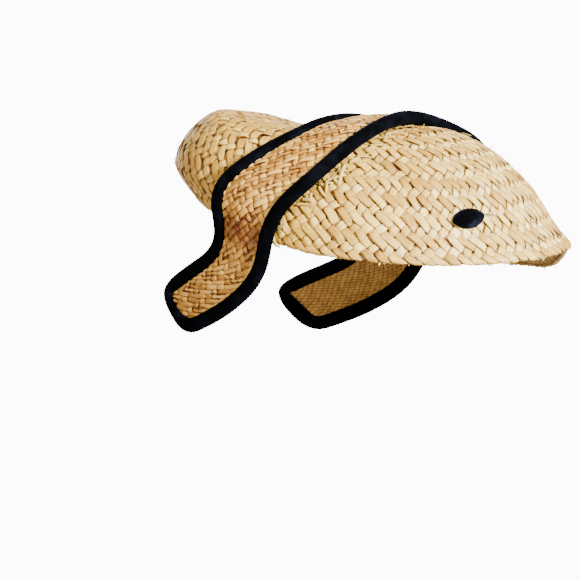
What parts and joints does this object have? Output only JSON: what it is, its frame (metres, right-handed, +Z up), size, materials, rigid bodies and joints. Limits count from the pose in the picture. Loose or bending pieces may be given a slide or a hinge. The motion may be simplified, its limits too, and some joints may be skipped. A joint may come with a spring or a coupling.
{
  "type": "straw half hat",
  "caption": "Woven straw half hat with a rolled front, a velvet-edged straw band that ends in two side tabs, and an oval velvet button",
  "frame": {"origin": "centre of the opening that the hat is worn by, at the height where it sits", "axes": "+Z up as worn, -Y towards the front of the hat, +X towards the wearer's left"},
  "size_m": [0.1714, 0.2262, 0.1227],
  "materials": {
    "crown_straw": "natural straw in a herringbone weave",
    "band_straw": "toasted straw in a coarse basket weave",
    "velvet": "black velvet with a short pile"
  },
  "bodies": {
    "root": {"crown": "crown_straw", "band": "band_straw", "band_binding": "velvet", "side_button": "velvet"}
  },
  "joints": []
}
